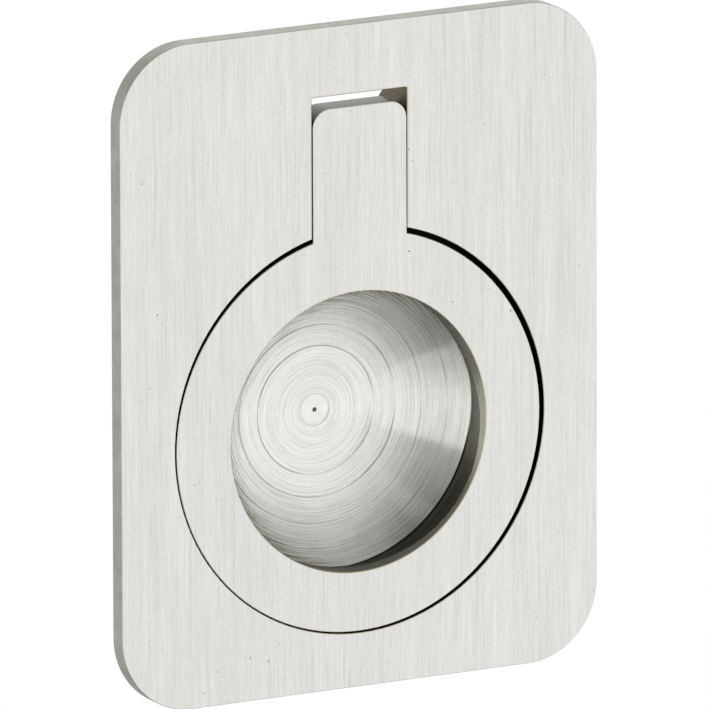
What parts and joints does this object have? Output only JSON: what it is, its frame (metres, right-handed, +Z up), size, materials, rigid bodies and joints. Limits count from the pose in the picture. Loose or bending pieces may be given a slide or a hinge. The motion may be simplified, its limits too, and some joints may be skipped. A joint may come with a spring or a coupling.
{
  "type": "recessed ring pull",
  "caption": "Flush pull for a door, drawer or hatch: a flat ring lies in a keyhole recess of a rectangular plate and swings out on a cross pin over a turned finger dish.",
  "frame": {"origin": "middle of the face plate's rear face, which seats on the door", "axes": "+Y out of the rear face into the door, so the front looks along -Y; +Z up the plate, from the ring to its hinge; +X to the right of someone facing the front"},
  "size_m": [0.055, 0.0112, 0.0696],
  "materials": {
    "satin_nickel": "satin nickel: face brushed upright, dish turned, pocket walls left as cast",
    "pin_steel": "drawn steel pin"
  },
  "bodies": {
    "housing": {"housing": "satin_nickel", "hinge_pin": "pin_steel"},
    "ring": {"ring_pull": "satin_nickel"}
  },
  "joints": [
    {"name": "ring_pivot", "type": "hinge", "parent": "housing", "child": "ring", "pos_m": [0, 0.001, 0.0228], "axis": [-1, 0, 0], "range_deg": [0, 90]}
  ]
}
